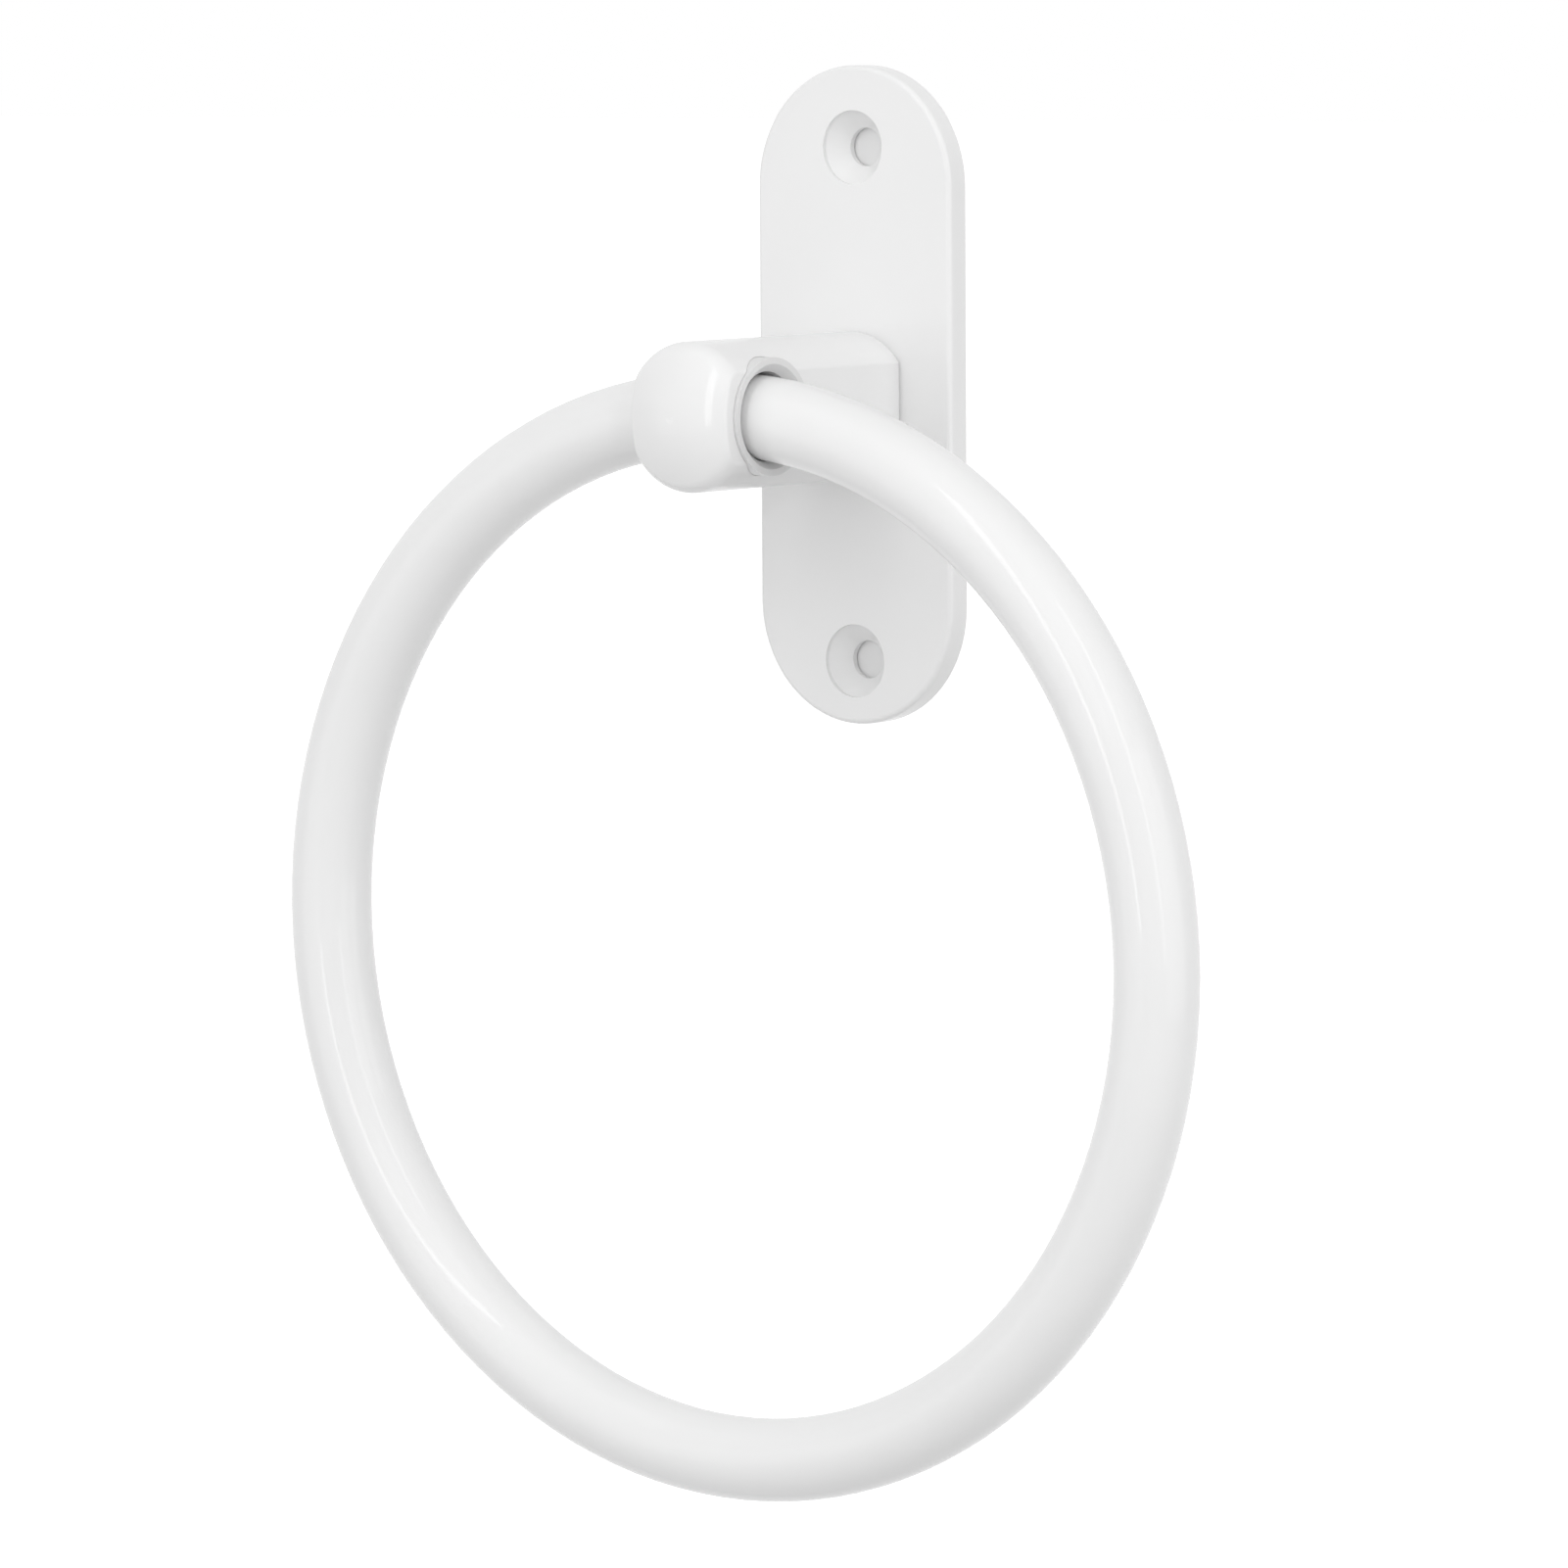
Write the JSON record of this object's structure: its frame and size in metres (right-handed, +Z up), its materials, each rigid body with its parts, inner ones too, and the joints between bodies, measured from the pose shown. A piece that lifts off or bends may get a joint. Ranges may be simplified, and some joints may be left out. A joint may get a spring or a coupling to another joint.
{
  "type": "towel ring",
  "caption": "Wall-mounted towel ring: an upright rounded plate, a short domed arm with flat sides and a tube ring that swings in a plastic sleeve.",
  "frame": {"origin": "on the wall, halfway between the two wall screws, in line with the arm", "axes": "+X to the right along the wall, +Y into the wall, +Z up; the arm points along -Y"},
  "size_m": [0.174, 0.0503, 0.2201],
  "materials": {
    "plate_coating": "glossy white powder coat",
    "arm_coating": "glossy white powder coat",
    "ring_coating": "glossy white powder coat",
    "sleeve_plastic": "moulded satin",
    "dowel_steel": "turned",
    "screw_steel": "zinc plated"
  },
  "bodies": {
    "bracket": {"back_plate": "plate_coating", "arm": "arm_coating", "sleeve": "sleeve_plastic", "arm_screws": "screw_steel"},
    "ring": {"ring": "ring_coating", "ring_dowel": "dowel_steel"}
  },
  "joints": [
    {"name": "ring_swing", "type": "hinge", "parent": "bracket", "child": "ring", "pos_m": [0, -0.0372, 0], "axis": [-1, 0, 0], "range_deg": [-10.5, 190.5]}
  ]
}
